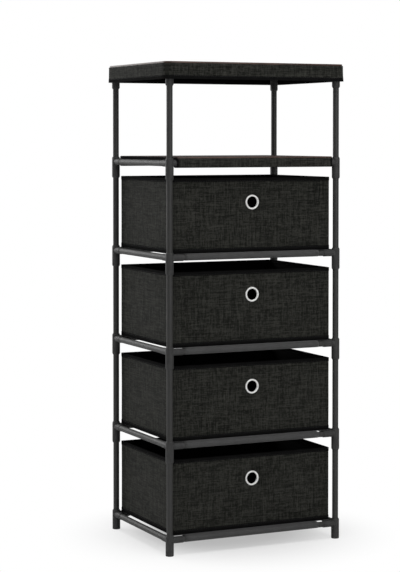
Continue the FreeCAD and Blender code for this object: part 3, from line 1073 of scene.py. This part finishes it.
for level in BINS:
    body = "drawer_%d" % level
    low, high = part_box(body + "_fabric_bin")
    form = raised(skin_pattern, level)
    swell(form, low, high, BIN_CORNER, bin_swell)
    skin = make_piece("bin_skin_%d" % level, form, [LINEN, LINING], body,
                      [body + "_fabric_bin"])
    add_wall(skin, SKIN, inner_slot=1)
    lining = make_piece("bin_lining_%d" % level, raised(lining_pattern, level), [LINING], body,
                        [body + "_fabric_bin"])
    add_wall(lining, SKIN)
    rim = make_piece("rim_tape_%d" % level, raised(rim_pattern, level), [TAPE], body,
                     [body + "_edge_tapes"])
    foot = make_piece("foot_tape_%d" % level, raised(foot_pattern, level), [TAPE], body,
                      [body + "_edge_tapes"])
    for tape in (rim, foot):
        add_wall(tape, TAPE_CLOTH)
    seams = make_piece("bin_stitches_%d" % level, tape_stitches(level), [THREAD_BLACK], body)
    board("base_board_%d" % level, body + "_base_board", LINING, body,
          corner=3 * MM, ease=0.8 * MM)
    make_grommet(level)
    print("bin", level, "rim at %.1f mm" % (high.z / MM))

# %% [markdown]
# ## Shelf
# The shelf is a board laid in a cloth tray. The tray's front and back are pockets round the
# rails, which could be boxes, but cloth goes round a rail in a U, so each is a strip drawn in
# side view like the slings. Between the two runs the panel that carries the board. The front
# face swells where the rail fills it. The pockets' ends are painted in the tape's black, as
# painted shade beside the arms' mouths, and at the sides a strip of tape stands up and hides
# the board's raw edge.

# %% Pockets round the rails
SHELF_CLOTH = 1.2 * MM
POCKET_STEP = 4 * MM
POCKET_BEND = 2.5 * MM
POCKET_DEPTH = 17.6 * MM
POCKET_ANGLES = (30, 60, 90)
POCKET_SWELL = 0.5 * MM
SWELL_SHARE = 0.6               # the part of the swell that is there all along
SWELL_PATCH = 50 * MM
SHELF_END_SHADE = 4.0 * MM       # width of the painted shade, in the tape's black, at each end of a pocket
FACE_BAND = 0.1 * MM            # how near its outermost place a point is on a pocket's face


def pocket_edge(side, low, high, panel_top):
    """One pocket in side view: down its face, round under the rail and up to the panel."""
    face = side * high.y
    inner = face - side * POCKET_DEPTH
    heights = even_stops(high.z, low.z + POCKET_BEND, POCKET_STEP)
    edge = [Vector((0, face, height)) for height in heights]
    for angle in POCKET_ANGLES:
        swing = math.radians(angle)
        edge.append(Vector((0, face - side * POCKET_BEND * (1 - math.cos(swing)),
                            low.z + POCKET_BEND * (1 - math.sin(swing)))))
    edge.append(Vector((0, inner + side * POCKET_BEND, low.z)))
    for angle in POCKET_ANGLES:
        swing = math.radians(angle)
        edge.append(Vector((0, inner + side * POCKET_BEND * (1 - math.sin(swing)),
                            low.z + POCKET_BEND * (1 - math.cos(swing)))))
    edge.append(Vector((0, inner, panel_top - SHELF_CLOTH)))
    return edge


def shelf_pockets(low, high, panel_top, shade_from, stops):
    shelf = bmesh.new()
    for side in (-1, 1):
        extrude_across(shelf, pocket_edge(side, low, high, panel_top), stops)
    outward(shelf)
    # painted shade: the faces at each end of a pocket take the tape's black, for the shade
    # beside the arms' mouths
    for face in shelf.faces:
        if abs(face.calc_center_median().x) > shade_from:
            face.material_index = 2
    for vert in shelf.verts:
        if abs(vert.co.y) > high.y - FACE_BAND:
            belly = math.sin(math.pi * (vert.co.z - low.z) / (high.z - low.z))
            wander = SWELL_SHARE + noise.noise(vert.co / SWELL_PATCH)
            vert.co.y += math.copysign(POCKET_SWELL * belly * wander, vert.co.y)
    return shelf


print("shelf pockets %.1f mm deep" % (POCKET_DEPTH / MM))

# %% Shelf
DECK_CLOTH = 0.9 * MM
BINDING = 0.4 * MM
BINDING_CORNER = 0.1 * MM
BINDING_TUCK = 1.0 * MM         # how far the binding goes down beside the panel
SHELF_SEAM = 2.2 * MM           # a pocket's upper edge to its row of stitches
SEAM_END = 2 * MM


def side_binding(high, panel_y, panel_top):
    """Two strips that stand up beside the board."""
    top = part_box("shelf_board")[1].z - BINDING
    binding = bmesh.new()
    for side in (-1, 1):
        strip_low = Vector((side * high.x - BINDING / 2, -panel_y, panel_top - BINDING_TUCK))
        strip_high = Vector((side * high.x + BINDING / 2, panel_y, top))
        add_form(binding, rounded_box(strip_low, strip_high, BINDING_CORNER))
    return binding


def shelf_seams(low, high, panel_top):
    seams = bmesh.new()
    for y in (-high.y, high.y):
        for height in (high.z - SHELF_SEAM, panel_top):
            add_stitches(seams, Vector((low.x + SEAM_END, y, height)),
                         Vector((high.x - SEAM_END, y, height)))
    return seams


def make_shelf():
    low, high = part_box("shelf_cover")
    panel_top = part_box("shelf_board")[0].z
    panel_y = high.y - SHELF_CLOTH
    shade_from = high.x - SHELF_END_SHADE
    stops = [low.x] + even_stops(-shade_from, shade_from, CLOTH_STEP) + [high.x]
    cover = make_piece("shelf_cloth", shelf_pockets(low, high, panel_top, shade_from, stops),
                       [LINEN, LINING, TAPE], "frame", ["shelf_cover"])
    add_wall(cover, SHELF_CLOTH, inner_slot=1)
    panel = bmesh.new()
    rows = even_stops(-panel_y, panel_y, 2 * CLOTH_STEP)
    extrude_across(panel, [Vector((0, y, panel_top)) for y in rows], stops)
    if sum(face.normal.z for face in panel.faces) < 0:
        bmesh.ops.reverse_faces(panel, faces=panel.faces)
    deck = make_piece("shelf_deck", panel, [LINING], "frame", ["shelf_cover"])
    add_wall(deck, DECK_CLOTH)
    sides = make_piece("shelf_side_binding", side_binding(high, panel_y, panel_top), [TAPE],
                       "frame")
    thread = make_piece("shelf_stitches", shelf_seams(low, high, panel_top), [THREAD_BLACK],
                        "frame")


make_shelf()
board("shelf_top_board", "shelf_board", WALNUT, "frame",
      corner=2 * MM, ease=0.9 * MM)

# %% [markdown]
# ## Lid
# The lid's cover is a skirt sewn to a panel, and the board lies on the panel a few millimetres
# proud of the cloth. The skirt hangs free, and a cloth simulation could let it fall, but so
# short a skirt barely moves. So it is opened by given amounts: a little towards its lower
# edge, by an amount that wanders along the hem, and most at the front right corner. Both of
# its edges are folded in, and the lower one is bound with the same tape as the bins.

# %% Lid skirt
LID_CORNER = 19 * MM
LID_STEP = 7 * MM
LID_FOLD = 1.4 * MM
LID_TOP_RETURN = 3.3 * MM
LID_HEM = 10 * MM
LID_TAPE = 8.2 * MM             # height of the tape that binds the hem
TAPE_STEP = 0.3 * MM            # how far it stands out from the skirt
LID_FLARE = 0.9 * MM
FLARE_SHARE = 0.35              # the part of the flare that is there all along
FLARE_WANDER = 0.9              # the part that comes and goes
WANDER_SIZE = 70 * MM
CORNER_FLARE = 1.2 * MM
CORNER_POWER = 6                # how tightly that flare keeps to its corner


def taped(place, low):
    return place.z < low.z + LID_TAPE + CLOSE


def lid_flare(place, low, high):
    """How far the skirt stands out at a point: nothing at the top, most at the hem."""
    drop = min(max((high.z - place.z) / (high.z - low.z), 0), 1)
    corner = max(0, place.x / high.x) ** CORNER_POWER * max(0, place.y / low.y) ** CORNER_POWER
    along = Vector((place.x, place.y, 0)) / WANDER_SIZE
    wander = FLARE_SHARE + FLARE_WANDER * noise.noise(along)
    step = TAPE_STEP if taped(place, low) else 0
    return step + drop ** 2 * (LID_FLARE * wander + CORNER_FLARE * corner)


def lid_skirt(low, high):
    skirt = rounded_box(low, high, LID_CORNER)
    remove_caps(skirt, top=True, bottom=True)
    slice_form(skirt, low, high, LID_STEP)
    for height in (LID_TAPE, LID_TAPE + TAPE_STEP):
        bmesh.ops.bisect_plane(skirt, geom=whole(skirt), plane_co=(0, 0, low.z + height),
                               plane_no=(0, 0, 1))
    fold_in(skirt, high.z, low, high, LID_CORNER, LID_FOLD, -LID_TOP_RETURN)
    fold_in(skirt, low.z, low, high, LID_CORNER, LID_FOLD, LID_HEM)
    outward(skirt)
    for face in skirt.faces:
        if taped(face.calc_center_median(), low):
            face.material_index = 2
    swell(skirt, low, high, LID_CORNER, lid_flare)
    return skirt


print("lid's hem taped over %.1f mm" % (LID_TAPE / MM))

# %% Lid
LID_CLOTH = 0.65 * MM
PANEL_CLOTH = 1.0 * MM
PANEL_GAP = 0.15 * MM
HEM_SEAM = 1.5 * MM             # the tape's edge to its row of stitches
TOP_SEAM = 2.5 * MM


def make_lid():
    low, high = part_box("lid_cover")
    cover = make_piece("lid_skirt", lid_skirt(low, high), [LINEN, LINING, TAPE], "frame",
                       ["lid_cover"])
    add_wall(cover, LID_CLOTH, inner_slot=1)
    seams = bmesh.new()
    for height in (low.z + LID_TAPE - HEM_SEAM, high.z - TOP_SEAM):
        stitch_round(seams, low, high, height, LID_CORNER)
    swell(seams, low, high, LID_CORNER, lid_flare)
    thread = make_piece("lid_stitches", seams, [THREAD_BLACK], "frame")
    panel_low, panel_high = inset_box(low, high, LID_CLOTH + PANEL_GAP)
    panel_high.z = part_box("lid_board")[0].z
    panel_low.z = panel_high.z - PANEL_CLOTH
    panel = make_piece("lid_panel", rounded_box(panel_low, panel_high, LID_CORNER), [LINING],
                       "frame", ["lid_cover"])


make_lid()
board("lid_top_board", "lid_board", WALNUT, "frame",
      corner=17 * MM, ease=0.9 * MM)

# %% [markdown]
# ## Greyboard
# The stiffeners inside the bins' walls are pressed waste paper, raw, dull and speckled. They
# could be modelled again, but nothing about their shape is missing, so they stay the CAD's
# own solids and only get a finish: pulp in two greys, with darker specks in it.


# %% Greyboard
def greyboard():
    material, tree, place = new_material("raw_greyboard")
    pulp = stretched_noise(tree, place, (1.6, 1.6, 1.6), detail=4.0)
    cloudy = stretched_noise(tree, place, (25.0, 25.0, 25.0))
    ground = two_tone(tree, cloudy, 0.3, 0.7, "#857e74", "#8f887d")
    speckled = two_tone(tree, pulp, 0.5, 0.75, ground, "#6b655c")
    close_material(tree, {"Base Color": speckled, "Roughness": 0.95},
                   height=pulp, strength=0.3, depth=0.15 * MM)
    return material


GREYBOARD = greyboard()
for level in BINS:
    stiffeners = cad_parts["drawer_%d_wall_stiffeners" % level]
    stiffeners.data.materials.clear()
    stiffeners.data.materials.append(GREYBOARD)
print("greyboard on", len(BINS), "nodes")

# %% [markdown]
# ## Camera
# The camera looks from the front left, from below the lid's height, with a long lens. It could
# be aimed at the object's middle, but then the uprights would lean together. So most of the
# fall to the object is done by the lens shift and only the rest by a small tilt.

# %% Camera
CAMERA_PLACE = (-1.8171, -3.7123, 0.9194)
CAMERA_TURN = math.radians(25.294)
CAMERA_TILT = math.radians(1.5)
LENS_LENGTH = 112.578
LENS_SHIFT = -0.178

lens = bpy.data.cameras.new("camera")
lens.lens = LENS_LENGTH
lens.shift_y = LENS_SHIFT
camera = put_in_scene("camera", lens)
camera.location = CAMERA_PLACE
camera.rotation_euler = (QUARTER - CAMERA_TILT, 0, -CAMERA_TURN)
bpy.context.scene.camera = camera
print("camera %.2f m from the middle" % Vector(CAMERA_PLACE).xy.length)

# %% [markdown]
# ## Floor, world and lamps
# The tower stands on white, with a pale shadow. More light could bleach the floor, but it would
# bleach the cloth too. So the floor and the world glow white for the camera's rays alone, and
# light the object no more than a dim room does. The floor's glow is held back near the
# object, where the shadow has to show. Four large soft lamps do the rest: soft, because
# black cloth and satin paint show their shape only by broad, gentle highlights.

# %% Floor
FLOOR_SIDE = 30.0               # metres
FLOOR_LIFT = 0.45               # how far the shadow under the object is lightened
SHADOW_NEAR = 100.0             # mm from the middle, where the floor begins to whiten
SHADOW_FAR = 420.0              # mm from the middle, where it is plain white


def pale_floor():
    """White floor whose shadow is light near the object and fades to plain white far off."""
    material, tree, place = new_material("pale_floor")
    reach = add_node(tree, "VectorMath", {0: place}, operation="LENGTH")
    lifted = add_node(tree, "MapRange", {"Value": reach, "From Min": SHADOW_NEAR,
                                         "From Max": SHADOW_FAR, "To Min": FLOOR_LIFT},
                      interpolation_type="SMOOTHSTEP")
    seen = add_node(tree, "LightPath").outputs["Is Camera Ray"]
    share = add_node(tree, "Math", {0: lifted, 1: seen}, operation="MULTIPLY")
    paint = add_node(tree, "BsdfPrincipled", {"Base Color": "#f4f4f4", "Roughness": 0.9})
    glow = add_node(tree, "Emission", {"Color": "#ffffff", "Strength": 1.0})
    blend = add_node(tree, "MixShader", {0: share, 1: paint, 2: glow})
    add_node(tree, "OutputMaterial", {"Surface": blend})
    return material


floor_form = bmesh.new()
bmesh.ops.create_grid(floor_form, x_segments=1, y_segments=1, size=FLOOR_SIDE / 2)
floor = put_in_scene("floor", to_mesh_data(floor_form, "floor"))
floor.data.materials.append(pale_floor())
print("floor %.0f m wide" % FLOOR_SIDE)

# %% World
WORLD_LIGHT = 0.25              # the world's strength for every ray but the camera's

world = bpy.data.worlds.new("studio")
bpy.context.scene.world = world
world.use_nodes = True
studio = world.node_tree
studio.nodes.clear()
seen = add_node(studio, "LightPath").outputs["Is Camera Ray"]
strength = add_node(studio, "MapRange", {"Value": seen, "To Min": WORLD_LIGHT},
                    interpolation_type="SMOOTHSTEP")
sky = add_node(studio, "Background", {"Color": "#ffffff", "Strength": strength})
add_node(studio, "OutputWorld", {"Surface": sky})
bpy.context.scene.view_settings.view_transform = "Standard"
print("the world lights the object at %.2f" % WORLD_LIGHT)

# %% Lamps
AIM = Vector((0, 0, 0.5))
SOFTBOXES = (                   # name, place, width and height in metres, watts
    ("overhead", (-0.2, -0.6, 3.2), 2.2, 2.2, 52),
    ("back_left", (-1.8, 3.2, 1.9), 2.6, 2.6, 70),
    ("left_window", (-3.0, -0.6, 1.8), 1.4, 2.0, 2),
    ("front_fill", (0.6, -3.8, 1.8), 2.2, 1.8, 36),
)

for name, place, width, height, power in SOFTBOXES:
    light = bpy.data.lights.new(name, "AREA")
    light.shape = "RECTANGLE"
    light.size = width
    light.size_y = height
    light.energy = power
    lamp = put_in_scene(name, light)
    lamp.location = place
    lamp.rotation_euler = (AIM - Vector(place)).to_track_quat("-Z", "Y").to_euler()
print("lamps:", len(SOFTBOXES))
